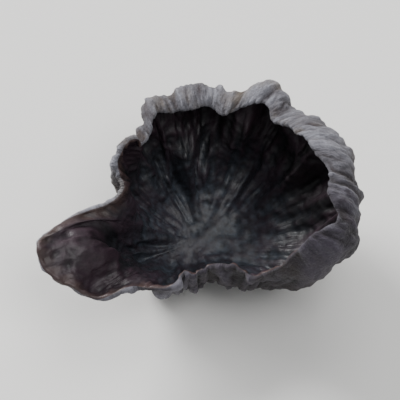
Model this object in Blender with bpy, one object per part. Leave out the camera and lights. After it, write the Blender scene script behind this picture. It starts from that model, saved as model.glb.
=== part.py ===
"""One dried wood ear: a thin ear fungus that shrank into a cup as it dried, cut flat where it grew on wood.

The skin is laid out in ribs that leave the attachment in every direction. A rib starts level over the
attachment and bends up into the cup's wall. Its margin rolls inwards, or bends out where a lobe lies open.
Folds, pleats and crumples then push the skin in and out. +Y is the tall back wall, -X the open lobe and +Z
up. The ear rests on its cut attachment at Z = 0.
"""

import math
from collections import namedtuple

import bpy
import numpy as np
from mathutils import Vector, noise

MM = 0.001
TURN = 2.0 * math.pi

# Lobes of the margin, anticlockwise from +X. Reach is the length of skin from the attachment to the margin,
# in millimetres. The rest is in degrees: where the lobe lies, how steep its wall gets, how far the margin
# rolls inwards, how far the lobe flares out, and how far it leans round the cup.
Lobe = namedtuple("Lobe", "bearing reach wall roll flare lean")
LOBES = (
    Lobe(bearing=2, reach=23.2, wall=76, roll=115, flare=0, lean=-6),
    Lobe(bearing=45, reach=19.4, wall=82, roll=140, flare=0, lean=-8),
    Lobe(bearing=88, reach=18.3, wall=84, roll=155, flare=0, lean=8),
    Lobe(bearing=128, reach=18.0, wall=84, roll=110, flare=0, lean=-4),
    Lobe(bearing=150, reach=16.2, wall=90, roll=40, flare=0, lean=0),
    Lobe(bearing=171, reach=13.2, wall=90, roll=6, flare=0, lean=2),
    Lobe(bearing=186, reach=12.2, wall=86, roll=0, flare=10, lean=-1),
    Lobe(bearing=204, reach=19.0, wall=78, roll=0, flare=78, lean=-1),
    Lobe(bearing=220, reach=16.4, wall=76, roll=12, flare=70, lean=-2),
    Lobe(bearing=240, reach=12.6, wall=68, roll=4, flare=12, lean=-2),
    Lobe(bearing=268, reach=11.0, wall=66, roll=20, flare=0, lean=-3),
    Lobe(bearing=302, reach=14.2, wall=66, roll=24, flare=0, lean=4),
    Lobe(bearing=332, reach=23.4, wall=66, roll=95, flare=0, lean=2),
)

# Where the wall, the roll and the flare start and are complete, in parts of a rib. The wall rises in two
# steps: a low one, the lift, close to the attachment, then the rest. The roll still grows at the margin.
LIFT_FROM, LIFT_FULL = 0.02, 0.30
LIFT_SHARE = 0.35  # part of the wall's slope that the lift makes
WALL_FROM, WALL_FULL = 0.15, 0.85
ROLL_FROM, ROLL_FULL = 0.78, 1.04
FLARE_FROM, FLARE_FULL = 0.62, 0.86
WAVER = 24.0  # degrees that a rib's slope wavers by
WAVER_FROM, WAVER_FULL = 0.35, 0.90
WAVER_DENSITY = 3.2
OUTLINE_RAGGEDNESS = 0.06  # part of a rib's reach
OUTLINE_DENSITY = 3.0

# Main folds, which run along the ribs. Bearing and sweep are in degrees, width and depth in millimetres.
# Depth is positive into the cup. A fold grows from start to full, both parts of a rib, and dies away by end.
Fold = namedtuple("Fold", "bearing sweep width depth start full end")
FOLDS = (
    Fold(bearing=24, sweep=14, width=1.5, depth=1.5, start=0.25, full=0.55, end=0.95),
    Fold(bearing=68, sweep=-10, width=1.2, depth=0.9, start=0.35, full=0.60, end=0.95),
    Fold(bearing=104, sweep=16, width=1.7, depth=2.1, start=0.08, full=0.50, end=0.95),
    Fold(bearing=146, sweep=-12, width=1.5, depth=0.9, start=0.30, full=0.80, end=1.60),
    Fold(bearing=180, sweep=4, width=1.2, depth=0.6, start=0.45, full=0.90, end=1.60),
    Fold(bearing=200, sweep=6, width=1.1, depth=0.5, start=0.45, full=0.95, end=1.60),
    Fold(bearing=219, sweep=-4, width=1.6, depth=0.3, start=0.35, full=0.90, end=1.60),
    Fold(bearing=243, sweep=14, width=1.6, depth=-0.7, start=0.25, full=0.80, end=1.60),
    Fold(bearing=288, sweep=-8, width=1.8, depth=0.6, start=0.25, full=0.85, end=1.60),
    Fold(bearing=318, sweep=10, width=1.2, depth=-0.9, start=0.30, full=0.80, end=1.40),
    Fold(bearing=346, sweep=8, width=1.3, depth=1.3, start=0.35, full=0.65, end=1.00),
)
FOLD_SHARPNESS = 1.5  # larger is sharper
FOLD_ENDS_AT = 1.5  # radians to either side, so that a fold stays on its own side of the cup

# Pleats are the small ridges between the folds.
PLEAT_DEPTH = 1.1  # millimetres
PLEAT_FROM, PLEAT_FULL = 0.03, 0.45  # parts of a rib
PLEAT_DENSITY = 3.6
PLEAT_DRIFT = 1.6  # how fast they change along a rib
PLEAT_CREASE = 0.012  # smaller is sharper
PLEAT_SLOPE = 1.6
PLEAT_WARP = 0.3  # radians that a pleat wanders by
WARP_DENSITY, WARP_DRIFT = 1.5, 3.0
PLEAT_LOSS = 0.62  # part that is lost where the margin is rolled
PLEAT_REACH = 15.0  # millimetres; a rib that reaches less has shallower pleats

# Crumples are the dents between the pleats, in millimetres.
CRUMPLE_DEPTH = 0.8
CRUMPLE_SIZE = 3.6
CRUMPLE_FULL = 0.3  # part of a rib
CRUMPLE_LOSS = 0.65  # part that is lost where the margin is rolled
FULL_ROLL = 120.0  # degrees

# Heights at which the slices of noise are taken, so that they differ.
OUTLINE_SLICE, WAVER_SLICE, CRUMPLE_SLICE = 7.3, 1.7, 3.1

# The attachment is an oval stub below the skin. All but THINS_FROM and THINS_TO are in millimetres.
BASE_THICKNESS = 0.95
MARGIN_THICKNESS = 0.55
THINS_FROM, THINS_TO = 0.1, 0.9  # parts of a rib
STUB_HEIGHT = 1.5
STUB_WIDTH = 4.8  # half of it, from side to side
STUB_LENGTH = 5.2  # half of it, from front to back
STUB_SIDE, STUB_BACK = 2.2, 0.4  # how far its middle lies to +X and +Y of the point where the ribs meet
STUB_TOP = 0.1  # part of its width that is full height
CUT_HEIGHT = 0.6  # how much of the stub is left above the cut

RINGS = 28  # rings of faces from the attachment to the margin
RING_CROWDING = 0.35  # how much closer the rings lie at the margin
RIBS = 720  # ribs and steps of the grid on which the ribs are summed
STEPS = 240

EAR_COLOUR = (0.030, 0.024, 0.020, 1.0)
EAR_ROUGHNESS = 0.55


def ease(values, start, end):
    """0 before start, 1 after end, with a smooth rise between them."""
    part = np.clip((values - start) / (end - start), 0.0, 1.0)
    return part * part * (3.0 - 2.0 * part)


def round_the_lobes(bearings, field):
    """The lobes' values of one field at these bearings, on a smooth closed curve through them."""
    stations = np.radians([lobe.bearing for lobe in LOBES])
    values = np.array([getattr(lobe, field) for lobe in LOBES], float)
    gaps = np.diff(stations, append=stations[0] + TURN)
    slopes = (np.roll(values, -1) - np.roll(values, 1)) / (gaps + np.roll(gaps, 1))
    bearings = (bearings - stations[0]) % TURN + stations[0]
    before = np.searchsorted(stations, bearings, side="right") - 1
    after = (before + 1) % len(stations)
    gap = gaps[before]
    u = (bearings - stations[before]) / gap
    return (
        (1.0 + 2.0 * u) * (1.0 - u) ** 2 * values[before]
        + u * (1.0 - u) ** 2 * gap * slopes[before]
        + u * u * (3.0 - 2.0 * u) * values[after]
        + u * u * (u - 1.0) * gap * slopes[after]
    )


def uneven(*place):
    """Smooth noise between about -1 and 1 at each point of three arrays, which may broadcast."""
    x, y, z = np.broadcast_arrays(*place)
    return np.array([noise.noise(Vector(p)) for p in zip(x.flat, y.flat, z.flat)]).reshape(x.shape)


def uneven_round(bearings, density, height):
    """Noise that closes after a turn: it is read on a circle whose radius is its density."""
    return uneven(density * np.cos(bearings), density * np.sin(bearings), height)


def ribs(along, bearing):
    """The skin's middle surface before it folds, and the ribs' reaches, in millimetres."""
    ragged = uneven_round(bearing, OUTLINE_DENSITY, OUTLINE_SLICE)
    reach = round_the_lobes(bearing, "reach") * (1.0 + OUTLINE_RAGGEDNESS * ragged)
    waver = np.radians(WAVER) * uneven_round(bearing, WAVER_DENSITY, WAVER_SLICE)
    wall, roll, flare, lean = (
        np.radians(round_the_lobes(bearing, field)) for field in ("wall", "roll", "flare", "lean")
    )
    lift = LIFT_SHARE * ease(along, LIFT_FROM, LIFT_FULL)
    slope = wall * (lift + (1.0 - LIFT_SHARE) * ease(along, WALL_FROM, WALL_FULL))
    slope = slope + roll * ease(along, ROLL_FROM, ROLL_FULL)
    slope = slope - flare * ease(along, FLARE_FROM, FLARE_FULL)
    slope = slope + waver * ease(along, WAVER_FROM, WAVER_FULL)
    heading = bearing + lean * along**2
    outward = np.cos(slope)
    steps = np.stack([outward * np.cos(heading), outward * np.sin(heading), np.sin(slope)], axis=-1)
    steps *= (reach / STEPS)[..., None]
    middles = 0.5 * (steps[1:] + steps[:-1])
    return np.concatenate([np.zeros((1, RIBS, 3)), np.cumsum(middles, axis=0)]), reach


def inward(points):
    """The unit normals of a grid of points by step and rib, towards the inside of the cup."""
    outwards = np.gradient(points, axis=0)
    round_the_ear = np.roll(points, -1, axis=1) - np.roll(points, 1, axis=1)
    normals = np.cross(outwards, round_the_ear)
    normals[0] = (0.0, 0.0, 1.0)
    return normals / np.linalg.norm(normals, axis=-1, keepdims=True)


def main_folds(along, bearing, points):
    """How far the main folds push the skin into the cup, in millimetres."""
    depth = np.zeros(points.shape[:2])
    arm = np.hypot(points[..., 0], points[..., 1])
    for fold in FOLDS:
        middle = np.radians(fold.bearing + fold.sweep * (along - 0.5))
        off = (bearing - middle + math.pi) % TURN - math.pi
        across = 1.0 / np.cosh(off * arm / fold.width) ** FOLD_SHARPNESS
        here = ease(along, fold.start, fold.full) * (1.0 - ease(along, fold.full, fold.end))
        depth += fold.depth * across * here * (np.abs(off) < FOLD_ENDS_AT)
    return depth


def pleats_and_crumples(along, bearing, reach):
    """How far the pleats and the crumples push the skin into the cup, in millimetres."""
    rolled = np.clip(round_the_lobes(bearing, "roll") / FULL_ROLL, 0.0, 1.0) * ease(along, ROLL_FROM, 1.0)
    warped = bearing + PLEAT_WARP * uneven_round(bearing, WARP_DENSITY, WARP_DRIFT * along)
    across = uneven_round(warped, PLEAT_DENSITY, PLEAT_DRIFT * along)
    pleats = 0.5 - PLEAT_SLOPE * np.sqrt(across**2 + PLEAT_CREASE)
    pleats = pleats * ease(along, PLEAT_FROM, PLEAT_FULL) * (1.0 - PLEAT_LOSS * rolled)
    pleats = pleats * np.minimum(reach / PLEAT_REACH, 1.0)
    crumples = uneven_round(bearing, along * reach / CRUMPLE_SIZE, CRUMPLE_SLICE)
    crumples = crumples * ease(along, 0.0, CRUMPLE_FULL) * (1.0 - CRUMPLE_LOSS * rolled)
    return PLEAT_DEPTH * pleats + CRUMPLE_DEPTH * crumples


def stub_height(along, bearing, reach):
    """How far the attachment stands out below the skin, in millimetres."""
    side = along * reach * np.cos(bearing) - STUB_SIDE
    back = along * reach * np.sin(bearing) - STUB_BACK
    return STUB_HEIGHT * (1.0 - ease(np.hypot(side / STUB_WIDTH, back / STUB_LENGTH), STUB_TOP, 1.0))


def skins():
    """The skin's inner and outer surfaces, as grids of points by step and rib, in millimetres."""
    along = np.linspace(0.0, 1.0, STEPS + 1)[:, None]
    bearing = np.linspace(0.0, TURN, RIBS, endpoint=False)[None, :]
    points, reach = ribs(along, bearing)
    depth = main_folds(along, bearing, points) + pleats_and_crumples(along, bearing, reach)
    thickness = BASE_THICKNESS + (MARGIN_THICKNESS - BASE_THICKNESS) * ease(along, THINS_FROM, THINS_TO)
    below = 0.5 * thickness + stub_height(along, bearing, reach)
    normals = inward(points)
    inner = points + normals * (depth + 0.5 * thickness)[..., None]
    outer = points + normals * (depth - below)[..., None]
    return inner, outer


def at(grid, part, bearing):
    """The grid's values at these parts of a rib and bearings, between its steps and ribs."""
    row, column = part * STEPS, bearing / TURN * RIBS
    i = np.minimum(row.astype(int), STEPS - 1)
    j = column.astype(int)
    u, v = (row - i)[:, None], (column - j)[:, None]
    j, k = j % RIBS, (j + 1) % RIBS
    near = (1.0 - v) * grid[i, j] + v * grid[i, k]
    far = (1.0 - v) * grid[i + 1, j] + v * grid[i + 1, k]
    return (1.0 - u) * near + u * far


def rings_of_points():
    """A first point and rings of 6, 12, 18 ... points round it: the part of a rib and bearing of each."""
    part, bearing = [np.zeros(1)], [np.zeros(1)]
    for ring in range(1, RINGS + 1):
        part.append(np.full(6 * ring, ring / RINGS))
        bearing.append(TURN * np.arange(6 * ring) / (6 * ring))
    part = np.concatenate(part)
    return part + RING_CROWDING * part * (1.0 - part), np.concatenate(bearing)


def faces_between_rings():
    """Triangles between the rings of points, anticlockwise seen from inside the cup."""
    faces = []
    first = [0] + [1 + 3 * ring * (ring - 1) for ring in range(1, RINGS + 1)]
    for ring in range(1, RINGS + 1):
        count, inner_count = 6 * ring, max(6 * (ring - 1), 1)
        for sector in range(6):
            for step in range(ring):
                a = first[ring] + sector * ring + step
                b = first[ring] + (sector * ring + step + 1) % count
                c = first[ring - 1] + (sector * (ring - 1) + step) % inner_count
                faces.append((c, a, b))
                if step < ring - 1:
                    d = first[ring - 1] + (sector * (ring - 1) + step + 1) % inner_count
                    faces.append((c, b, d))
    return faces


def ear_mesh():
    """The closed ear: its inside, its outside with the stub cut level, and the margin that joins them."""
    inner, outer = skins()
    part, bearing = rings_of_points()
    inside, outside = at(inner, part, bearing), at(outer, part, bearing)
    cut = outer[..., 2].min() + STUB_HEIGHT - CUT_HEIGHT
    outside[:, 2] = np.maximum(outside[:, 2], cut)
    count = len(part)
    faces = faces_between_rings()
    faces += [tuple(count + corner for corner in reversed(face)) for face in faces]
    margin_count = 6 * RINGS
    margin = count - margin_count
    for step in range(margin_count):
        a, b = margin + step, margin + (step + 1) % margin_count
        faces.append((count + a, count + b, b, a))
    corners = np.concatenate([inside, outside])
    low, high = corners.min(axis=0), corners.max(axis=0)
    corners -= (0.5 * (low[0] + high[0]), 0.5 * (low[1] + high[1]), low[2])
    mesh = bpy.data.meshes.new("wood_ear")
    mesh.from_pydata((corners * MM).tolist(), [], faces)
    mesh.shade_smooth()
    return mesh


def dried_skin():
    """The plain brown-black of the dried skin."""
    material = bpy.data.materials.new("dried_skin")
    material.use_nodes = True
    shader = material.node_tree.nodes["Principled BSDF"]
    shader.inputs["Base Color"].default_value = EAR_COLOUR
    shader.inputs["Roughness"].default_value = EAR_ROUGHNESS
    shader.inputs["Metallic"].default_value = 0.0
    return material


def main():
    for thing in list(bpy.data.objects):
        bpy.data.objects.remove(thing)
    ear = bpy.data.objects.new("wood_ear", ear_mesh())
    ear.data.materials.append(dried_skin())
    bpy.context.scene.collection.objects.link(ear)


main()
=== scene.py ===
"""One dried wood ear with its finish: a thin cup of skin, satin brown-black inside and felted outside.

The skin follows the lobes, folds and pleats of the solid that it stands for. It adds what is too fine
for the solid: the rounded edge of the margin, the wrinkles and the leathery net that drying left, and
the finishes of the two faces.
"""

import math
from collections import namedtuple

import bpy
import numpy as np
from bpy.props import FloatProperty, FloatVectorProperty, IntProperty, PointerProperty
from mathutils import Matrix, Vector, noise
from mathutils.bvhtree import BVHTree


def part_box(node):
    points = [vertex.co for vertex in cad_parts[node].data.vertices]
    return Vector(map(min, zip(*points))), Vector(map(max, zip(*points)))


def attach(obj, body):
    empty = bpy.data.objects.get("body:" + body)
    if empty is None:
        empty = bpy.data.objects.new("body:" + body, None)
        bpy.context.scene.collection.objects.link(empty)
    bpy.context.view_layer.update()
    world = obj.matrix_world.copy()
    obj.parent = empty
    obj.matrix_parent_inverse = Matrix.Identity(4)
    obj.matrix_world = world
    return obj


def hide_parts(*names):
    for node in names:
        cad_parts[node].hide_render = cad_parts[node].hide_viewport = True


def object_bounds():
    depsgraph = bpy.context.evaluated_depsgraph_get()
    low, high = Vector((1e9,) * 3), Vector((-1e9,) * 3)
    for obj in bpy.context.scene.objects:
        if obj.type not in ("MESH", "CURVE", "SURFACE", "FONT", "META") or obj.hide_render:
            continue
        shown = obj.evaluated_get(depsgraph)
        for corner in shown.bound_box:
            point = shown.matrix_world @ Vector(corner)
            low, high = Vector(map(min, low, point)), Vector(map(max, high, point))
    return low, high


bl_info = {
    "name": "Dried wood ear",
    "version": (1, 0, 0),
    "blender": (4, 5, 0),
    "location": "3D View > Sidebar > Wood ear",
    "description": "Grows the skin of a dried wood ear and sets a plain studio round it",
    "category": "Object",
}

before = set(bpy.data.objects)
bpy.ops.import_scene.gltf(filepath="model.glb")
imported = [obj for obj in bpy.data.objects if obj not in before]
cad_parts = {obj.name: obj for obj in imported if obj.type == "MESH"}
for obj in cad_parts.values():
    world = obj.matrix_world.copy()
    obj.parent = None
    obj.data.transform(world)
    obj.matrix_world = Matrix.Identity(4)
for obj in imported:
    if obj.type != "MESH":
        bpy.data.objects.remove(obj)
SOLID_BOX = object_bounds()

MM = 0.001
TURN = 2.0 * math.pi

# Lobes of the margin, anticlockwise from +X. Reach is the length of skin from the attachment to the
# margin, in millimetres. The rest is in degrees: where the lobe lies, how steep its wall gets, how far
# the margin rolls inwards, how far the lobe flares out, and how far it leans round the cup.
Lobe = namedtuple("Lobe", "bearing reach wall roll flare lean")
LOBES = (
    Lobe(bearing=2, reach=23.2, wall=76, roll=115, flare=0, lean=-6),
    Lobe(bearing=45, reach=19.4, wall=82, roll=140, flare=0, lean=-8),
    Lobe(bearing=88, reach=18.3, wall=84, roll=155, flare=0, lean=8),
    Lobe(bearing=128, reach=18.0, wall=84, roll=110, flare=0, lean=-4),
    Lobe(bearing=150, reach=16.2, wall=90, roll=40, flare=0, lean=0),
    Lobe(bearing=171, reach=13.2, wall=90, roll=6, flare=0, lean=2),
    Lobe(bearing=186, reach=12.2, wall=86, roll=0, flare=10, lean=-1),
    Lobe(bearing=204, reach=19.0, wall=78, roll=0, flare=78, lean=-1),
    Lobe(bearing=220, reach=16.4, wall=76, roll=12, flare=70, lean=-2),
    Lobe(bearing=240, reach=12.6, wall=68, roll=4, flare=12, lean=-2),
    Lobe(bearing=268, reach=11.0, wall=66, roll=20, flare=0, lean=-3),
    Lobe(bearing=302, reach=14.2, wall=66, roll=24, flare=0, lean=4),
    Lobe(bearing=332, reach=23.4, wall=66, roll=95, flare=0, lean=2),
)

# Where a rib's lift, wall, roll and flare start and are complete, in parts of the rib.
LIFT_FROM, LIFT_FULL = 0.02, 0.30
LIFT_SHARE = 0.35  # part of the wall's slope
WALL_FROM, WALL_FULL = 0.15, 0.85
ROLL_FROM, ROLL_FULL = 0.78, 1.04
FLARE_FROM, FLARE_FULL = 0.62, 0.86

# Noise makes the ribs uneven. A density is the radius of the circle on which a noise is read round the
# ear, a drift is how far it moves on along a rib, and a slice is the height at which it is read.
WAVER = 24.0  # degrees that a rib's slope wavers by
WAVER_FROM, WAVER_FULL = 0.35, 0.90
WAVER_DENSITY = 3.2
OUTLINE_RAGGEDNESS = 0.06  # part of a rib's reach
OUTLINE_DENSITY = 3.0
OUTLINE_SLICE, WAVER_SLICE, CRUMPLE_SLICE = 7.3, 1.7, 3.1

# Main folds, which run along the ribs. Bearing and sweep are in degrees, width and depth in
# millimetres. Depth is positive into the cup. In parts of a rib, the fold grows from start to full and
# dies away by end, which can lie past the margin.
Fold = namedtuple("Fold", "bearing sweep width depth start full end")
FOLDS = (
    Fold(bearing=24, sweep=14, width=1.5, depth=1.5, start=0.25, full=0.55, end=0.95),
    Fold(bearing=68, sweep=-10, width=1.2, depth=0.9, start=0.35, full=0.60, end=0.95),
    Fold(bearing=104, sweep=16, width=1.7, depth=2.1, start=0.08, full=0.50, end=0.95),
    Fold(bearing=146, sweep=-12, width=1.5, depth=0.9, start=0.30, full=0.80, end=1.60),
    Fold(bearing=180, sweep=4, width=1.2, depth=0.6, start=0.45, full=0.90, end=1.60),
    Fold(bearing=200, sweep=6, width=1.1, depth=0.5, start=0.45, full=0.95, end=1.60),
    Fold(bearing=219, sweep=-4, width=1.6, depth=0.3, start=0.35, full=0.90, end=1.60),
    Fold(bearing=243, sweep=14, width=1.6, depth=-0.7, start=0.25, full=0.80, end=1.60),
    Fold(bearing=288, sweep=-8, width=1.8, depth=0.6, start=0.25, full=0.85, end=1.60),
    Fold(bearing=318, sweep=10, width=1.2, depth=-0.9, start=0.30, full=0.80, end=1.40),
    Fold(bearing=346, sweep=8, width=1.3, depth=1.3, start=0.35, full=0.65, end=1.00),
)
FOLD_SHARPNESS = 1.5
FOLD_ENDS_AT = 1.5  # radians

# Pleats are the small ridges between the folds, and crumples the dents between the pleats.
PLEAT_DEPTH = 1.1  # millimetres
PLEAT_FROM, PLEAT_FULL = 0.03, 0.45
PLEAT_DENSITY = 3.6
PLEAT_DRIFT = 1.6
PLEAT_CREASE = 0.012  # the smaller, the sharper
PLEAT_LEVEL, PLEAT_SLOPE = 0.5, 1.6
PLEAT_WARP = 0.3  # radians
WARP_DENSITY, WARP_DRIFT = 1.5, 3.0
PLEAT_LOSS = 0.62  # part that is lost where the margin is rolled
PLEAT_REACH = 15.0  # millimetres; pleats are lower on ribs that are shorter
CRUMPLE_DEPTH = 0.8  # millimetres
CRUMPLE_SIZE = 3.6  # millimetres
CRUMPLE_FULL = 0.3
CRUMPLE_LOSS = 0.65  # part that is lost where the margin is rolled
FULL_ROLL = 120.0  # degrees

THINS_FROM, THINS_TO = 0.1, 0.9  # parts of a rib between which the skin gets thinner

# The attachment is an oval stub below the skin, cut level. In millimetres, but for the part of its
# radius within which it has its full height.
STUB_HEIGHT = 1.5
STUB_WIDTH = 4.8
STUB_LENGTH = 5.2
STUB_SIDE, STUB_BACK = 2.2, 0.4
STUB_TOP = 0.1
CUT_HEIGHT = 0.6

# The skin is worked out on a grid of ribs and steps, and read at rings of points that crowd a little
# towards the margin.
RIBS = 720
STEPS = 240
SECTORS = 6  # each ring has this many points more than the one inside it
RING_CROWDING = 0.35

# Shrinkage wrinkles run along the ribs: a density of 8 gives about 40 creases round the ear. Outside
# and inside are their depths on the two faces, in parts of the wrinkle depth. They grow from start to
# full, both parts of a rib.
Wrinkle = namedtuple("Wrinkle", "outside inside density drift start full slice")
WRINKLES = (
    Wrinkle(outside=1.0, inside=0.75, density=8, drift=2.6, start=0.05, full=0.40, slice=11),
    Wrinkle(outside=0.5, inside=0.35, density=17, drift=5.0, start=0.15, full=0.55, slice=23),
)
WRINKLE_CREASE = 0.006  # the smaller, the sharper
WRINKLE_LOSS = 0.5  # part that is lost where the margin is rolled

# A leathery net lies between the wrinkles. Its size is in millimetres, and its depths on the two faces
# are in parts of the net depth.
Net = namedtuple("Net", "outside inside size crease slice")
NETS = (
    Net(outside=1.0, inside=0.90, size=1.90, crease=0.01, slice=40),
    Net(outside=0.6, inside=0.55, size=0.95, crease=0.01, slice=47),
    Net(outside=0.3, inside=0.22, size=0.45, crease=0.02, slice=54),
)
CREASE_MIDDLE = 0.25  # mean height of a creased noise
CREASE_SCALE = 2.0  # makes its highest ridges about 1 high
OTHER_FACE = 3.5  # between the slices of noise that the net reads on the two faces

# Where the relief would make the skin cut itself, it loses a part of its depth, again and again until
# the skin is clear.
CREASE_ROUNDS = 12
CREASE_LOSS = 0.35
FADE, FADE_STEPS = 0.8, 9  # what each edge passes on of the loss, and along how many edges

BEFORE_MARGIN = 0.98  # part of a rib
SKIN_ROWS = 0.4  # part of the edge's rows that has the inner finish

# Patterns of the finishes that follow the ribs. Along is how many waves there are to a millimetre.
Grain = namedtuple("Grain", "density along")
VEINS = Grain(density=22.0, along=0.33)
TUFTS = Grain(density=30.0, along=0.5)
# Painted shade darkens the outer face on the side that this direction points to.
SHADED_SIDE = (0.42, -0.91, 0.0)  # direction from the attachment, towards the low wall

# How much one value counts where a finish adds it to another.
RELIEF_BROWNS = 3.0  # brown for each millimetre of relief
RELIEF_TO_FOLDS = 5.0
EDGE_RAGGEDNESS = 3.0  # millimetres
SHADE_RAGGEDNESS = 1.6

FLOOR_GAP = 0.05 * MM
FLOOR_SIDES = 96
NEAREST = 10.0 * MM  # that the camera sees
Lamp = namedtuple("Lamp", "name place size power")  # place and size in metres, power in watts
LAMPS = (
    Lamp(name="key", place=(-0.42, 0.40, 0.40), size=0.22, power=7.0),
    Lamp(name="top", place=(0.18, -0.14, 0.58), size=0.30, power=1.7),
    Lamp(name="back", place=(0.04, 0.22, 0.56), size=0.30, power=1.0),
)


def ease(values, start, end):
    """0 before start, 1 after end, with a smooth rise between them."""
    part = np.clip((values - start) / (end - start), 0.0, 1.0)
    return part * part * (3.0 - 2.0 * part)


def round_the_lobes(bearings, field):
    """The lobes' values of one field at these bearings, on a smooth closed curve through them."""
    stations = np.radians([lobe.bearing for lobe in LOBES])
    values = np.array([getattr(lobe, field) for lobe in LOBES], float)
    gaps = np.diff(stations, append=stations[0] + TURN)
    slopes = (np.roll(values, -1) - np.roll(values, 1)) / (gaps + np.roll(gaps, 1))
    bearings = (bearings - stations[0]) % TURN + stations[0]
    before = np.searchsorted(stations, bearings, side="right") - 1
    after = (before + 1) % len(stations)
    gap = gaps[before]
    u = (bearings - stations[before]) / gap
    return (
        (1.0 + 2.0 * u) * (1.0 - u) ** 2 * values[before]
        + u * (1.0 - u) ** 2 * gap * slopes[before]
        + u * u * (3.0 - 2.0 * u) * values[after]
        + u * u * (u - 1.0) * gap * slopes[after]
    )


def uneven(*place):
    """Smooth noise between about -1 and 1 at each point of three arrays, which may broadcast."""
    x, y, z = np.broadcast_arrays(*place)
    return np.array([noise.noise(Vector(p)) for p in zip(x.flat, y.flat, z.flat)]).reshape(x.shape)


def uneven_round(bearings, density, height):
    """Noise that closes after a turn: it is read on a circle whose radius is its density."""
    return uneven(density * np.cos(bearings), density * np.sin(bearings), height)


def creased(values, crease):
    """Noise that is folded up at zero, so that rounded ridges stand between sharp creases."""
    return np.sqrt(values**2 + crease)


def ribs(along, bearing):
    """The skin's middle surface before it folds, and the ribs' reaches, in millimetres."""
    ragged = uneven_round(bearing, OUTLINE_DENSITY, OUTLINE_SLICE)
    reach = round_the_lobes(bearing, "reach") * (1.0 + OUTLINE_RAGGEDNESS * ragged)
    waver = np.radians(WAVER) * uneven_round(bearing, WAVER_DENSITY, WAVER_SLICE)
    wall, roll, flare, lean = (
        np.radians(round_the_lobes(bearing, field)) for field in ("wall", "roll", "flare", "lean")
    )
    lift = LIFT_SHARE * ease(along, LIFT_FROM, LIFT_FULL)
    slope = wall * (lift + (1.0 - LIFT_SHARE) * ease(along, WALL_FROM, WALL_FULL))
    slope = slope + roll * ease(along, ROLL_FROM, ROLL_FULL)
    slope = slope - flare * ease(along, FLARE_FROM, FLARE_FULL)
    slope = slope + waver * ease(along, WAVER_FROM, WAVER_FULL)
    heading = bearing + lean * along**2
    outward = np.cos(slope)
    steps = np.stack([outward * np.cos(heading), outward * np.sin(heading), np.sin(slope)], axis=-1)
    steps *= (reach / STEPS)[..., None]
    middles = 0.5 * (steps[1:] + steps[:-1])
    return np.concatenate([np.zeros((1, RIBS, 3)), np.cumsum(middles, axis=0)]), reach


def inward(points):
    """The unit normals of a grid of points by step and rib, towards the inside of the cup."""
    outwards = np.gradient(points, axis=0)
    round_the_ear = np.roll(points, -1, axis=1) - np.roll(points, 1, axis=1)
    normals = np.cross(outwards, round_the_ear)
    normals[0] = (0.0, 0.0, 1.0)
    return normals / np.linalg.norm(normals, axis=-1, keepdims=True)


def main_folds(along, bearing, points):
    """How far the main folds push the skin into the cup, in millimetres."""
    depth = np.zeros(points.shape[:2])
    arm = np.hypot(points[..., 0], points[..., 1])
    for fold in FOLDS:
        middle = np.radians(fold.bearing + fold.sweep * (along - 0.5))
        off = (bearing - middle + math.pi) % TURN - math.pi
        across = 1.0 / np.cosh(off * arm / fold.width) ** FOLD_SHARPNESS
        here = ease(along, fold.start, fold.full) * (1.0 - ease(along, fold.full, fold.end))
        depth += fold.depth * across * here * (np.abs(off) < FOLD_ENDS_AT)
    return depth


def how_rolled(along, bearing):
    """0 where the skin is open, 1 where its margin is rolled."""
    rolled = np.clip(round_the_lobes(bearing, "roll") / FULL_ROLL, 0.0, 1.0)
    return rolled * ease(along, ROLL_FROM, 1.0)


def pleats_and_crumples(along, bearing, reach):
    """How far the pleats and the crumples push the skin into the cup, in millimetres."""
    rolled = how_rolled(along, bearing)
    warped = bearing + PLEAT_WARP * uneven_round(bearing, WARP_DENSITY, WARP_DRIFT * along)
    across = uneven_round(warped, PLEAT_DENSITY, PLEAT_DRIFT * along)
    pleats = PLEAT_LEVEL - PLEAT_SLOPE * creased(across, PLEAT_CREASE)
    pleats = pleats * ease(along, PLEAT_FROM, PLEAT_FULL) * (1.0 - PLEAT_LOSS * rolled)
    pleats = pleats * np.minimum(reach / PLEAT_REACH, 1.0)
    crumples = uneven_round(bearing, along * reach / CRUMPLE_SIZE, CRUMPLE_SLICE)
    crumples = crumples * ease(along, 0.0, CRUMPLE_FULL) * (1.0 - CRUMPLE_LOSS * rolled)
    return PLEAT_DEPTH * pleats + CRUMPLE_DEPTH * crumples


def stub_height(along, bearing, reach):
    """How far the attachment stands out below the skin, in millimetres."""
    side = along * reach * np.cos(bearing) - STUB_SIDE
    back = along * reach * np.sin(bearing) - STUB_BACK
    return STUB_HEIGHT * (1.0 - ease(np.hypot(side / STUB_WIDTH, back / STUB_LENGTH), STUB_TOP, 1.0))


def at(grid, part, bearing):
    """The grid's values at these parts of a rib and bearings, between its steps and ribs."""
    row, column = part * STEPS, bearing / TURN * RIBS
    i = np.minimum(row.astype(int), STEPS - 1)
    j = column.astype(int)
    u, v = row - i, column - j
    if grid.ndim == 3:
        u, v = u[:, None], v[:, None]
    j, k = j % RIBS, (j + 1) % RIBS
    near = (1.0 - v) * grid[i, j] + v * grid[i, k]
    far = (1.0 - v) * grid[i + 1, j] + v * grid[i + 1, k]
    return (1.0 - u) * near + u * far


def rings_of_points(rings):
    """A first point and rings of 6, 12, 18 ... points: the part of a rib and the bearing of each."""
    part, bearing = [np.zeros(1)], [np.zeros(1)]
    for ring in range(1, rings + 1):
        count = SECTORS * ring
        part.append(np.full(count, ring / rings))
        bearing.append(TURN * np.arange(count) / count)
    part = np.concatenate(part)
    return part + RING_CROWDING * part * (1.0 - part), np.concatenate(bearing)


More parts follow.
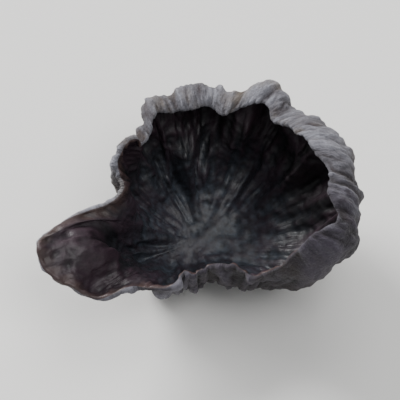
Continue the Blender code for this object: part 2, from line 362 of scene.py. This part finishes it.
def faces_between_rings(rings):
    """Triangles between the rings of points, anticlockwise seen from inside the cup."""
    faces = []
    first = [0] + [1 + SECTORS * ring * (ring - 1) // 2 for ring in range(1, rings + 1)]
    for ring in range(1, rings + 1):
        count, inner_count = SECTORS * ring, max(SECTORS * (ring - 1), 1)
        for sector in range(SECTORS):
            for step in range(ring):
                a = first[ring] + sector * ring + step
                b = first[ring] + (sector * ring + step + 1) % count
                c = first[ring - 1] + (sector * (ring - 1) + step) % inner_count
                faces.append((c, a, b))
                if step < ring - 1:
                    d = first[ring - 1] + (sector * (ring - 1) + step + 1) % inner_count
                    faces.append((c, b, d))
    return faces


def fine_relief(part, bearing, reach, face, sizes):
    """How far the wrinkles and the net stand out from one face of the skin, in millimetres."""
    sign, shift = (1.0, OTHER_FACE) if face == "outside" else (-1.0, 0.0)
    kept = 1.0 - WRINKLE_LOSS * how_rolled(part, bearing)
    relief = np.zeros(len(part))
    for wrinkle in WRINKLES:
        across = uneven_round(bearing, wrinkle.density, wrinkle.slice + wrinkle.drift * part)
        ridges = CREASE_SCALE * (creased(across, WRINKLE_CREASE) - CREASE_MIDDLE)
        depth = sign * getattr(wrinkle, face) * sizes.wrinkle_depth / MM
        relief += depth * ridges * kept * ease(part, wrinkle.start, wrinkle.full)
    east, north = part * reach * np.cos(bearing), part * reach * np.sin(bearing)
    for net in NETS:
        across = uneven(east / net.size, north / net.size, net.slice + shift)
        ridges = CREASE_SCALE * (creased(across, net.crease) - CREASE_MIDDLE)
        relief += sign * getattr(net, face) * sizes.net_depth / MM * ridges
    return relief


def skin_grids(sizes):
    """The inner, outer and middle surfaces, the ribs' reaches and the folds, by step and rib."""
    along = np.linspace(0.0, 1.0, STEPS + 1)[:, None]
    turn = np.linspace(0.0, TURN, RIBS, endpoint=False)[None, :]
    middle, reach = ribs(along, turn)
    folded = main_folds(along, turn, middle) + pleats_and_crumples(along, turn, reach)
    base, edge = sizes.base_thickness / MM, sizes.margin_thickness / MM
    half = 0.5 * (base + (edge - base) * ease(along, THINS_FROM, THINS_TO))
    normals = inward(middle)
    inner = middle + normals * (folded + half)[..., None]
    outer = middle + normals * (folded - half - stub_height(along, turn, reach))[..., None]
    return inner, outer, middle, np.broadcast_to(reach, folded.shape), folded


def rounded_margin(inner, outer, direction, rows):
    """Rows of points round the edge of the margin, from its inner corner to its outer one."""
    middle, half = 0.5 * (inner + outer), 0.5 * (inner - outer)
    height = np.linalg.norm(half, axis=1, keepdims=True)
    turns = [math.pi * row / rows for row in range(1, rows)]
    return [middle + math.cos(turn) * half + math.sin(turn) * height * direction for turn in turns]


def ear_faces(rings, rows):
    """The faces of the closed skin, and the finish of each: 0 for the inner skin, 1 for the felt."""
    inner = faces_between_rings(rings)
    count, margin_count = 1 + SECTORS * rings * (rings + 1) // 2, SECTORS * rings
    outer = [tuple(count + corner for corner in reversed(face)) for face in inner]
    starts = [2 * count + margin_count * row for row in range(rows - 1)]
    starts = [count - margin_count, *starts, 2 * count - margin_count]
    rim, rim_finish = [], []
    for row in range(rows):
        for step in range(margin_count):
            after = (step + 1) % margin_count
            near, far = starts[row], starts[row + 1]
            rim.append((far + step, far + after, near + after, near + step))
            rim_finish.append(int(row >= SKIN_ROWS * rows))
    return inner + outer + rim, [0] * len(inner) + [1] * len(outer) + rim_finish


def crossing_corners(mesh):
    """1 at the corners of faces that cut through other faces of the skin, and 0 elsewhere."""
    faces = [tuple(face.vertices) for face in mesh.polygons]
    tree = BVHTree.FromPolygons([corner.co for corner in mesh.vertices], faces)
    marks = np.zeros(len(mesh.vertices))
    for one, other in tree.overlap(tree):
        if not set(faces[one]) & set(faces[other]):
            marks[list(faces[one])] = 1.0
    return marks


def spread(mesh, marks):
    """The marks, which fade away along the mesh's edges."""
    ends = np.zeros(2 * len(mesh.edges), np.int32)
    mesh.edges.foreach_get("vertices", ends)
    ends = ends.reshape(-1, 2)
    for _ in range(FADE_STEPS):
        near = marks[ends] * FADE
        np.maximum.at(marks, ends[:, 0], near[:, 1])
        np.maximum.at(marks, ends[:, 1], near[:, 0])
    return marks


def raise_relief(mesh, corners, relief):
    """Raises the relief, less of it where the skin would cut itself, and gives what was raised."""
    facing = np.zeros(corners.size, np.float32)
    mesh.vertices.foreach_get("normal", facing)
    facing = facing.reshape(-1, 3)
    rest_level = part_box("wood_ear")[0].z
    for _ in range(CREASE_ROUNDS):
        raised = corners + facing * relief[:, None]
        raised[:, 2] = np.maximum(raised[:, 2], 0.0)
        raised = raised * MM + (0.0, 0.0, rest_level)
        mesh.vertices.foreach_set("co", raised.astype(np.float32).ravel())
        mesh.update()
        marks = crossing_corners(mesh)
        if not marks.any():
            break
        relief = relief * (1.0 - CREASE_LOSS * spread(mesh, marks))
    return relief


def add_attribute(mesh, name, kind, values):
    """A value for each point of the mesh, which a material can read."""
    layer = mesh.attributes.new(name, kind, "POINT")
    field = "vector" if kind == "FLOAT_VECTOR" else "value"
    layer.data.foreach_set(field, np.concatenate(values).astype(np.float32).ravel())


def add_finish_values(mesh, sizes, part, bearing, reach, folds, outer_heights, relief):
    """Adds what the finishes read, which runs on from face to face round the edge of the margin."""
    rows, margin_count = sizes.edge_rows, SECTORS * sizes.rings
    margin = slice(-margin_count, None)
    run = reach * part
    half_edge = 0.5 * sizes.margin_thickness / MM
    past = [half_edge * math.pi * min(row, rows - row) / rows for row in range(1, rows)]
    edge_runs = [run[margin] + each for each in past]
    heading = np.stack([np.cos(bearing), np.sin(bearing)], axis=1)
    edge = [np.zeros(margin_count)] * (rows - 1)
    high = [np.ones(margin_count)] * (rows - 1)
    headings = np.concatenate([heading, heading, *[heading[margin]] * (rows - 1)])
    runs = np.concatenate([run, run, *edge_runs])[:, None]
    depths = np.concatenate([0.0 * run, reach - run, *edge])[:, None]
    add_attribute(mesh, "relief", "FLOAT", [relief])
    add_attribute(mesh, "fold", "FLOAT", [folds, -folds, *edge])
    add_attribute(mesh, "from_margin", "FLOAT", [reach - run, reach - run, *edge])
    add_attribute(mesh, "above_cut", "FLOAT", [np.ones(len(part)), outer_heights, *high])
    add_attribute(mesh, "lie", "FLOAT_VECTOR", [np.hstack([runs * headings, depths])])
    add_attribute(mesh, "ahead", "FLOAT_VECTOR", [np.hstack([headings, runs])])


def ear_mesh(sizes):
    """The whole skin as one closed mesh in metres, with its finishes and the values that they read."""
    rings, rows = sizes.rings, sizes.edge_rows
    inner_grid, outer_grid, middle, reach_grid, folded = skin_grids(sizes)
    part, bearing = rings_of_points(rings)
    inner, outer = at(inner_grid, part, bearing), at(outer_grid, part, bearing)
    both = np.concatenate([inner, outer])
    centre = 0.5 * (both.min(axis=0) + both.max(axis=0))
    centre[2] = outer_grid[..., 2].min() + STUB_HEIGHT - CUT_HEIGHT
    inner, outer = inner - centre, outer - centre

    margin_count = SECTORS * rings
    margin = slice(-margin_count, None)
    inside_margin = at(middle, np.full(margin_count, BEFORE_MARGIN), bearing[margin])
    direction = at(middle, np.ones(margin_count), bearing[margin]) - inside_margin
    direction /= np.linalg.norm(direction, axis=1, keepdims=True)
    edge = rounded_margin(inner[margin], outer[margin], direction, rows)
    corners = np.concatenate([inner, outer, *edge])
    faces, finishes = ear_faces(rings, rows)
    mesh = bpy.data.meshes.new("wood_ear_skin")
    mesh.from_pydata((corners * MM).tolist(), [], faces)
    mesh.polygons.foreach_set("material_index", finishes)

    reach = at(reach_grid, part, bearing)
    inner_relief = fine_relief(part, bearing, reach, "inside", sizes)
    outer_relief = fine_relief(part, bearing, reach, "outside", sizes)
    shares = [0.5 + 0.5 * math.cos(math.pi * row / rows) for row in range(1, rows)]
    edge_relief = [w * inner_relief[margin] + (1.0 - w) * outer_relief[margin] for w in shares]
    relief = np.concatenate([inner_relief, outer_relief, *edge_relief])
    relief = raise_relief(mesh, corners, relief)
    mesh.shade_smooth()
    folds = at(folded, part, bearing)
    add_finish_values(mesh, sizes, part, bearing, reach, folds, outer[:, 2], relief)
    return mesh


def linear(hex_colour):
    """An sRGB colour such as 8b8682 as linear red, green, blue and alpha."""
    channels = [int(hex_colour[i : i + 2], 16) / 255.0 for i in (0, 2, 4)]
    channels = [c / 12.92 if c <= 0.04045 else ((c + 0.055) / 1.055) ** 2.4 for c in channels]
    return (*channels, 1.0)


def add_node(material, kind, settings=None, inputs=None):
    """Adds a node. Inputs are numbers, colours or the sockets that feed it; settings are all else."""
    tree = material.node_tree
    node = tree.nodes.new(kind)
    for name, value in (settings or {}).items():
        setattr(node, name, value)
    for name, value in (inputs or {}).items():
        if isinstance(value, bpy.types.NodeSocket):
            tree.links.new(value, node.inputs[name])
        else:
            node.inputs[name].default_value = value
    return node


def new_material(name):
    """An empty node material."""
    material = bpy.data.materials.new(name)
    material.use_nodes = True
    material.node_tree.nodes.clear()
    return material


def satin_hymenium(colours):
    """The inner face: the smooth skin that bore the spores, dried to a satin brown-black."""
    m = new_material("satin_hymenium")
    lie = add_node(m, "ShaderNodeAttribute", {"attribute_name": "lie"}).outputs["Vector"]
    ahead = add_node(m, "ShaderNodeAttribute", {"attribute_name": "ahead"}).outputs["Vector"]
    relief = add_node(m, "ShaderNodeAttribute", {"attribute_name": "relief"}).outputs["Fac"]
    from_margin = add_node(m, "ShaderNodeAttribute", {"attribute_name": "from_margin"}).outputs["Fac"]

    # Brown and black lie in soft patches about 4 mm across. The raised wrinkles and the thinner skin
    #     # near the margin are browner: partly the skin's own colour and partly painted light that
    #     shines through
    #     # thin skin.
    patches = add_node(
        m,
        "ShaderNodeTexNoise",
        inputs={"Vector": lie, "Scale": 1.0 / 4.0, "Detail": 4.0, "Roughness": 0.6},
    ).outputs["Fac"]
    patchy = add_node(
        m,
        "ShaderNodeMapRange",
        inputs={"Value": patches, "From Min": 0.42, "From Max": 0.78},
    ).outputs["Result"]
    thinner = add_node(
        m,
        "ShaderNodeMapRange",
        inputs={"Value": from_margin, "From Min": 8.0, "From Max": 3.0, "To Max": 0.45},
    ).outputs["Result"]
    brown = add_node(m, "ShaderNodeMath", {"operation": "ADD"}, {0: patchy, 1: thinner}).outputs[0]
    browner = add_node(
        m,
        "ShaderNodeMath",
        {"operation": "MULTIPLY_ADD", "use_clamp": True},
        {0: relief, 1: RELIEF_BROWNS, 2: brown},
    ).outputs[0]
    skin = add_node(
        m,
        "ShaderNodeMix",
        {"data_type": "RGBA"},
        {"Factor": browner, "A": colours.inside_black, "B": colours.inside_brown},
    ).outputs["Result"]

    # Veins run out from the attachment, about 0.4 mm wide at the margin and 3 mm long.
    stretched = add_node(
        m,
        "ShaderNodeVectorMath",
        {"operation": "MULTIPLY"},
        {0: ahead, 1: (VEINS.density, VEINS.density, VEINS.along)},
    ).outputs["Vector"]
    veins = add_node(
        m,
        "ShaderNodeTexNoise",
        inputs={"Vector": stretched, "Scale": 1.0, "Detail": 3.0, "Roughness": 0.55},
    ).outputs["Fac"]

    # Spore dust and painted sheen lie in the middle of the hollow: a cool grey in soft flecks of about
    # 0.6 mm,
    #     # less of it on the raised wrinkles. It is partly real dust and partly a painted sheen of
    #     light.
    specks = add_node(
        m,
        "ShaderNodeTexNoise",
        inputs={"Vector": lie, "Scale": 1.0 / 0.6, "Detail": 3.0, "Roughness": 0.55},
    ).outputs["Fac"]
    from_base = add_node(m, "ShaderNodeVectorMath", {"operation": "LENGTH"}, {0: lie}).outputs["Value"]
    hollow = add_node(
        m,
        "ShaderNodeMapRange",
        {"interpolation_type": "SMOOTHSTEP"},
        {"Value": from_base, "From Min": 13.0, "From Max": 4.0, "To Min": 0.05, "To Max": 0.65},
    ).outputs["Result"]
    height_share = add_node(
        m,
        "ShaderNodeMapRange",
        inputs={"Value": relief, "From Min": 0.10, "From Max": -0.10, "To Min": 0.45, "To Max": 1.0},
    ).outputs["Result"]
    dust_and_sheen_flecks = add_node(
        m,
        "ShaderNodeMapRange",
        inputs={"Value": specks, "From Min": 0.22, "From Max": 0.72},
    ).outputs["Result"]
    dust_and_sheen_share = add_node(m, "ShaderNodeMath", {"operation": "MULTIPLY"}, {0: hollow, 1: height_share}).outputs[0]
    dust_and_sheen_share = add_node(m, "ShaderNodeMath", {"operation": "MULTIPLY"}, {0: dust_and_sheen_share, 1: dust_and_sheen_flecks}).outputs[0]
    dust_and_sheen_mixed = add_node(
        m,
        "ShaderNodeMix",
        {"data_type": "RGBA"},
        {"Factor": dust_and_sheen_share, "A": skin, "B": colours.spore_dust_and_sheen},
    ).outputs["Result"]

    # The skin thins to the margin, and a ragged band about a millimetre wide turns a paler brown:
    # partly
    #     # the felt's colour showing through, partly painted light that shines through the thin skin.
    ragged = add_node(
        m,
        "ShaderNodeMath",
        {"operation": "MULTIPLY_ADD"},
        {0: veins, 1: EDGE_RAGGEDNESS, 2: from_margin},
    ).outputs[0]
    thin = add_node(
        m,
        "ShaderNodeMapRange",
        inputs={"Value": ragged, "From Min": 2.6, "From Max": 0.9, "To Max": 0.75},
    ).outputs["Result"]
    edged = add_node(
        m,
        "ShaderNodeMix",
        {"data_type": "RGBA"},
        {"Factor": thin, "A": dust_and_sheen_mixed, "B": colours.edge_brown},
    ).outputs["Result"]

    # Satin where the skin dried black, and duller in the brown patches and along the veins.
    worn = add_node(m, "ShaderNodeMath", {"operation": "ADD"}, {0: patches, 1: veins}).outputs[0]
    rough = add_node(
        m,
        "ShaderNodeMapRange",
        inputs={"Value": worn, "From Min": 0.75, "From Max": 1.25, "To Min": 0.40, "To Max": 0.54},
    ).outputs["Result"]
    # The pores are a tenth of this size; 0.2 mm is the least that shows.
    pores = add_node(
        m,
        "ShaderNodeTexNoise",
        inputs={"Vector": lie, "Scale": 1.0 / 0.2, "Detail": 2.0, "Roughness": 0.6},
    ).outputs["Fac"]
    # The veins flatten out towards the attachment, where the skin is thick.
    raised = add_node(
        m,
        "ShaderNodeMapRange",
        {"interpolation_type": "SMOOTHSTEP"},
        {"Value": from_base, "From Min": 1.0, "From Max": 8.0, "To Max": 0.7},
    ).outputs["Result"]
    veined = add_node(
        m,
        "ShaderNodeBump",
        inputs={"Strength": raised, "Distance": 0.12 * MM, "Height": veins},
    ).outputs["Normal"]
    grained = add_node(
        m,
        "ShaderNodeBump",
        inputs={"Strength": 0.35, "Distance": 0.06 * MM, "Height": pores, "Normal": veined},
    ).outputs["Normal"]
    shader = add_node(
        m,
        "ShaderNodeBsdfPrincipled",
        inputs={"Base Color": edged, "Roughness": rough, "IOR": 1.45, "Normal": grained},
    )
    add_node(m, "ShaderNodeOutputMaterial", inputs={"Surface": shader.outputs["BSDF"]})
    return m


def felted_back(colours):
    """The outer face: a nap of fine hairs, dried to a matt taupe grey that is paler on the ridges."""
    m = new_material("felted_back")
    lie = add_node(m, "ShaderNodeAttribute", {"attribute_name": "lie"}).outputs["Vector"]
    ahead = add_node(m, "ShaderNodeAttribute", {"attribute_name": "ahead"}).outputs["Vector"]
    fold = add_node(m, "ShaderNodeAttribute", {"attribute_name": "fold"}).outputs["Fac"]
    relief = add_node(m, "ShaderNodeAttribute", {"attribute_name": "relief"}).outputs["Fac"]
    from_margin = add_node(m, "ShaderNodeAttribute", {"attribute_name": "from_margin"}).outputs["Fac"]
    above_cut = add_node(m, "ShaderNodeAttribute", {"attribute_name": "above_cut"}).outputs["Fac"]

    # The hairs lie outwards in tufts 0.3 mm wide and 2 mm long; single hairs are far too fine to show.
    combed = add_node(
        m,
        "ShaderNodeVectorMath",
        {"operation": "MULTIPLY"},
        {0: ahead, 1: (TUFTS.density, TUFTS.density, TUFTS.along)},
    ).outputs["Vector"]
    tufts = add_node(
        m,
        "ShaderNodeTexNoise",
        inputs={"Vector": combed, "Scale": 1.0, "Detail": 3.0, "Roughness": 0.6},
    ).outputs["Fac"]
    flecks = add_node(
        m,
        "ShaderNodeTexNoise",
        inputs={"Vector": lie, "Scale": 1.0 / 0.26, "Detail": 3.0, "Roughness": 0.7},
    ).outputs["Fac"]

    # Ridges are painted paler, as painted light, and the creases between them darker brown, as painted
    # shade.
    height = add_node(
        m,
        "ShaderNodeMath",
        {"operation": "MULTIPLY_ADD"},
        {0: relief, 1: RELIEF_TO_FOLDS, 2: fold},
    ).outputs[0]
    height_share = add_node(
        m,
        "ShaderNodeMapRange",
        inputs={"Value": height, "From Min": -1.0, "From Max": 0.7},
    ).outputs["Result"]
    margin_share = add_node(
        m,
        "ShaderNodeMapRange",
        {"interpolation_type": "SMOOTHSTEP"},
        {"Value": from_margin, "From Min": 7.0, "From Max": 1.0},
    ).outputs["Result"]
    ridge = add_node(
        m,
        "ShaderNodeMix",
        {"data_type": "RGBA"},
        {"Factor": margin_share, "A": colours.felt_grey, "B": colours.rim_grey},
    ).outputs["Result"]
    felt = add_node(
        m,
        "ShaderNodeMix",
        {"data_type": "RGBA"},
        {"Factor": height_share, "A": colours.crease_brown, "B": ridge},
    ).outputs["Result"]

    # Ochre stains from the bark, 5 mm across.
    stains = add_node(
        m,
        "ShaderNodeTexNoise",
        inputs={"Vector": lie, "Scale": 1.0 / 5.0, "Detail": 5.0, "Roughness": 0.62},
    ).outputs["Fac"]
    stained = add_node(
        m,
        "ShaderNodeMapRange",
        inputs={"Value": stains, "From Min": 0.5, "From Max": 0.72, "To Max": 0.55},
    ).outputs["Result"]
    tinted = add_node(
        m,
        "ShaderNodeMix",
        {"data_type": "RGBA"},
        {"Factor": stained, "A": felt, "B": colours.ochre},
    ).outputs["Result"]

    # Painted shade: the side towards the low wall is darkened as if in shade, with a ragged edge.
    side = add_node(
        m,
        "ShaderNodeVectorMath",
        {"operation": "DOT_PRODUCT"},
        {0: ahead, 1: SHADED_SIDE},
    ).outputs["Value"]
    ragged = add_node(
        m,
        "ShaderNodeMath",
        {"operation": "MULTIPLY_ADD"},
        {0: stains, 1: SHADE_RAGGEDNESS, 2: side},
    ).outputs[0]
    painted_shade = add_node(
        m,
        "ShaderNodeMapRange",
        inputs={"Value": ragged, "From Min": 0.95, "From Max": 1.6},
    ).outputs["Result"]
    painted_shade_mixed = add_node(
        m,
        "ShaderNodeMix",
        {"data_type": "RGBA", "blend_type": "MULTIPLY"},
        {"Factor": painted_shade, "A": tinted, "B": colours.painted_shade},
    ).outputs["Result"]

    # The cut shows pale flesh between darker fibres, in a mottle of about 0.9 mm.
    pith = add_node(
        m,
        "ShaderNodeTexNoise",
        inputs={"Vector": lie, "Scale": 1.0 / 0.9, "Detail": 4.0, "Roughness": 0.6, "Distortion": 0.8},
    ).outputs["Fac"]
    pale = add_node(
        m,
        "ShaderNodeMapRange",
        inputs={"Value": pith, "From Min": 0.38, "From Max": 0.60, "To Min": 0.15},
    ).outputs["Result"]
    flesh = add_node(
        m,
        "ShaderNodeMix",
        {"data_type": "RGBA"},
        {"Factor": pale, "A": colours.crease_brown, "B": colours.cut_tan},
    ).outputs["Result"]
    cut = add_node(
        m,
        "ShaderNodeMapRange",
        inputs={"Value": above_cut, "From Min": 0.0, "From Max": -0.12},
    ).outputs["Result"]
    coloured = add_node(
        m,
        "ShaderNodeMix",
        {"data_type": "RGBA"},
        {"Factor": cut, "A": painted_shade_mixed, "B": flesh},
    ).outputs["Result"]

    # Tufts and flecks lighten all of it by up to two fifths, or darken it by nearly half.
    nap = add_node(m, "ShaderNodeMath", {"operation": "ADD"}, {0: tufts, 1: flecks}).outputs[0]
    shade = add_node(
        m,
        "ShaderNodeMapRange",
        inputs={"Value": nap, "From Min": 0.7, "From Max": 1.3, "To Min": 0.55, "To Max": 1.40},
    ).outputs["Result"]
    hairy = add_node(
        m,
        "ShaderNodeMix",
        {"data_type": "RGBA", "blend_type": "MULTIPLY"},
        {"Factor": 1.0, "A": coloured, "B": shade},
    ).outputs["Result"]

    bump = add_node(
        m,
        "ShaderNodeBump",
        inputs={"Strength": 0.9, "Distance": 0.22 * MM, "Height": nap},
    ).outputs["Normal"]
    shader = add_node(
        m,
        "ShaderNodeBsdfPrincipled",
        inputs={
            "Base Color": hairy,
            "Roughness": 0.85,
            "IOR": 1.45,
            "Normal": bump,
            "Sheen Weight": 0.2,
            "Sheen Roughness": 0.5,
            "Sheen Tint": colours.hair_grey,
        },
    )
    add_node(m, "ShaderNodeOutputMaterial", inputs={"Surface": shader.outputs["BSDF"]})
    return m


def matt_card(colours):
    """The floor: pale card, matt and even, with a faint tooth of pressed fibres 1.5 mm apart."""
    m = new_material("matt_card")
    place = add_node(m, "ShaderNodeTexCoord").outputs["Object"]
    fibres = add_node(
        m,
        "ShaderNodeTexNoise",
        inputs={"Vector": place, "Scale": 1.0 / (1.5 * MM), "Detail": 2.0},
    ).outputs["Fac"]
    bump = add_node(
        m,
        "ShaderNodeBump",
        inputs={"Strength": 0.2, "Distance": 0.05 * MM, "Height": fibres},
    ).outputs["Normal"]
    shader = add_node(
        m,
        "ShaderNodeBsdfPrincipled",
        inputs={"Base Color": colours.floor, "Roughness": 0.9, "Normal": bump},
    )
    add_node(m, "ShaderNodeOutputMaterial", inputs={"Surface": shader.outputs["BSDF"]})
    return m


class WoodEarSizes(bpy.types.PropertyGroup):
    """Sizes of the ear's skin."""

    rings: IntProperty(
        name="Rings",
        description="Rings of faces from the attachment to the margin",
        default=118,
        min=28,
        max=122,
    )
    edge_rows: IntProperty(
        name="Edge rows",
        description="Rows of faces round the edge of the margin",
        default=5,
        min=2,
        max=8,
    )
    base_thickness: FloatProperty(
        name="Base thickness",
        description="Skin over the attachment",
        default=0.95 * MM,
        unit="LENGTH",
        precision=5,
    )
    margin_thickness: FloatProperty(
        name="Margin thickness",
        description="Skin at the margin",
        default=0.5 * MM,
        unit="LENGTH",
        precision=5,
    )
    wrinkle_depth: FloatProperty(
        name="Wrinkle depth",
        description="Depth of the shrinkage wrinkles",
        default=0.34 * MM,
        unit="LENGTH",
        precision=5,
    )
    net_depth: FloatProperty(
        name="Net depth",
        description="Depth of the leathery net between the wrinkles",
        default=0.19 * MM,
        unit="LENGTH",
        precision=5,
    )


class WoodEarColours(bpy.types.PropertyGroup):
    """Colours of the ear, of its floor and of the room."""

    inside_black: FloatVectorProperty(
        name="Inside black",
        description="Dark patches of the inner face",
        subtype="COLOR",
        size=4,
        default=linear("131011"),
    )
    inside_brown: FloatVectorProperty(
        name="Inside brown",
        description="Brown patches of the inner face",
        subtype="COLOR",
        size=4,
        default=linear("2e2028"),
    )
    # Partly spore dust and partly a painted sheen of light in the hollow of the inner face.
    spore_dust_and_sheen: FloatVectorProperty(
        name="Bloom",
        description="Spore dust in the hollow of the inner face",
        subtype="COLOR",
        size=4,
        default=linear("525a66"),
    )
    # Partly painted light that shines through the thin skin at the margin.
    edge_brown: FloatVectorProperty(
        name="Edge brown",
        description="Thin skin at the margin",
        subtype="COLOR",
        size=4,
        default=linear("4f3f3a"),
    )
    felt_grey: FloatVectorProperty(
        name="Felt grey",
        description="Ridges of the outer face",
        subtype="COLOR",
        size=4,
        default=linear("6b6562"),
    )
    rim_grey: FloatVectorProperty(
        name="Rim grey",
        description="Outer face at the margin",
        subtype="COLOR",
        size=4,
        default=linear("7e7e86"),
    )
    # Painted shade: the colour that darkens the outer face on the side towards the low wall.
    painted_shade: FloatVectorProperty(
        name="Dusk",
        description="Shade over the side of the outer face that dried darker",
        subtype="COLOR",
        size=4,
        default=linear("7b717d"),
    )
    hair_grey: FloatVectorProperty(
        name="Hair grey",
        description="Sheen of the hairs on the outer face",
        subtype="COLOR",
        size=4,
        default=linear("c4c4c8"),
    )
    # Partly painted shade in the creases of the outer face; also the dark fibres of the cut.
    crease_brown: FloatVectorProperty(
        name="Crease brown",
        description="Creases of the outer face",
        subtype="COLOR",
        size=4,
        default=linear("352d2f"),
    )
    ochre: FloatVectorProperty(
        name="Ochre",
        description="Stains on the outer face",
        subtype="COLOR",
        size=4,
        default=linear("66583f"),
    )
    cut_tan: FloatVectorProperty(
        name="Cut tan",
        description="Flesh on the cut attachment",
        subtype="COLOR",
        size=4,
        default=linear("756454"),
    )
    floor: FloatVectorProperty(
        name="Floor",
        description="Card under the ear",
        subtype="COLOR",
        size=4,
        default=linear("ecebe8"),
    )
    room: FloatVectorProperty(
        name="Room",
        description="Even light from all round",
        subtype="COLOR",
        size=4,
        default=linear("f2f4f7"),
    )


class WoodEarStage(bpy.types.PropertyGroup):
    """Camera, floor and room light."""

    elevation: FloatProperty(
        name="Elevation",
        description="How far the camera looks down",
        default=math.radians(60),
        subtype="ANGLE",
    )
    lens: FloatProperty(
        name="Lens",
        description="Focal length in millimetres",
        default=200.0,
        min=1.0,
    )
    framed_width: FloatProperty(
        name="Framed width",
        description="Width of the picture at the ear",
        default=34.0 * MM,
        unit="LENGTH",
        precision=4,
    )
    floor_radius: FloatProperty(
        name="Floor radius",
        description="Radius of the card",
        default=0.9,
        unit="LENGTH",
        precision=3,
    )
    room_light: FloatProperty(
        name="Room light",
        description="Strength of the even light from all round",
        default=0.34,
        min=0.0,
    )


class WOODEAR_OT_skin(bpy.types.Operator):
    """Grow the ear's skin and give it its finishes"""

    bl_idname = "wood_ear.skin"
    bl_label = "Grow the skin"

    def execute(self, context):
        scene = context.scene
        mesh = ear_mesh(scene.wood_ear_sizes)
        mesh.materials.append(satin_hymenium(scene.wood_ear_colours))
        mesh.materials.append(felted_back(scene.wood_ear_colours))
        ear = bpy.data.objects.new("wood_ear_skin", mesh)
        scene.collection.objects.link(ear)
        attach(ear, "root")
        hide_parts("wood_ear")
        return {"FINISHED"}


class WOODEAR_OT_studio(bpy.types.Operator):
    """Lay the floor, and set the lights and the camera"""

    bl_idname = "wood_ear.studio"
    bl_label = "Set the studio"

    def execute(self, context):
        scene = context.scene
        stage = scene.wood_ear_stage
        low, high = (Vector(corner) for corner in SOLID_BOX)
        centre = 0.5 * (low + high)

        bpy.ops.mesh.primitive_circle_add(
            vertices=FLOOR_SIDES,
            radius=stage.floor_radius,
            fill_type="NGON",
            location=(0.0, 0.0, low.z - FLOOR_GAP),
        )
        floor = context.object
        floor.name = "floor"
        floor.data.materials.append(matt_card(scene.wood_ear_colours))

        for lamp in LAMPS:
            light = bpy.data.objects.new(lamp.name, bpy.data.lights.new(lamp.name, "AREA"))
            light.data.size = lamp.size
            light.data.energy = lamp.power
            light.location = lamp.place
            light.rotation_euler = (centre - light.location).to_track_quat("-Z", "Y").to_euler()
            scene.collection.objects.link(light)
        world = bpy.data.worlds.new("soft_room")
        world.use_nodes = True
        background = world.node_tree.nodes["Background"]
        background.inputs["Color"].default_value = scene.wood_ear_colours.room
        background.inputs["Strength"].default_value = stage.room_light
        scene.world = world

        camera = bpy.data.objects.new("camera", bpy.data.cameras.new("camera"))
        camera.data.lens = stage.lens
        camera.data.clip_start = NEAREST
        away = Vector((0.0, -math.cos(stage.elevation), math.sin(stage.elevation)))
        camera.location = centre + away * stage.framed_width * stage.lens / camera.data.sensor_width
        camera.rotation_euler = (-away).to_track_quat("-Z", "Y").to_euler()
        scene.collection.objects.link(camera)
        scene.camera = camera
        return {"FINISHED"}


class WOODEAR_PT_panel(bpy.types.Panel):
    """Lists the ear's values and operators"""

    bl_idname = "WOODEAR_PT_panel"
    bl_label = "Dried wood ear"
    bl_space_type = "VIEW_3D"
    bl_region_type = "UI"
    bl_category = "Wood ear"

    def draw(self, context):
        scene = context.scene
        for group in (scene.wood_ear_sizes, scene.wood_ear_colours, scene.wood_ear_stage):
            column = self.layout.column(align=True)
            for name in group.__annotations__:
                column.prop(group, name)
        self.layout.operator(WOODEAR_OT_skin.bl_idname)
        self.layout.operator(WOODEAR_OT_studio.bl_idname)


CLASSES = (
    WoodEarSizes,
    WoodEarColours,
    WoodEarStage,
    WOODEAR_OT_skin,
    WOODEAR_OT_studio,
    WOODEAR_PT_panel,
)


def register():
    for each in CLASSES:
        bpy.utils.register_class(each)
    bpy.types.Scene.wood_ear_sizes = PointerProperty(type=WoodEarSizes)
    bpy.types.Scene.wood_ear_colours = PointerProperty(type=WoodEarColours)
    bpy.types.Scene.wood_ear_stage = PointerProperty(type=WoodEarStage)


def unregister():
    del bpy.types.Scene.wood_ear_stage
    del bpy.types.Scene.wood_ear_colours
    del bpy.types.Scene.wood_ear_sizes
    for each in reversed(CLASSES):
        bpy.utils.unregister_class(each)


def main():
    """Makes the scene."""
    register()
    bpy.ops.wood_ear.skin()
    bpy.ops.wood_ear.studio()


if __name__ == "__main__":
    main()
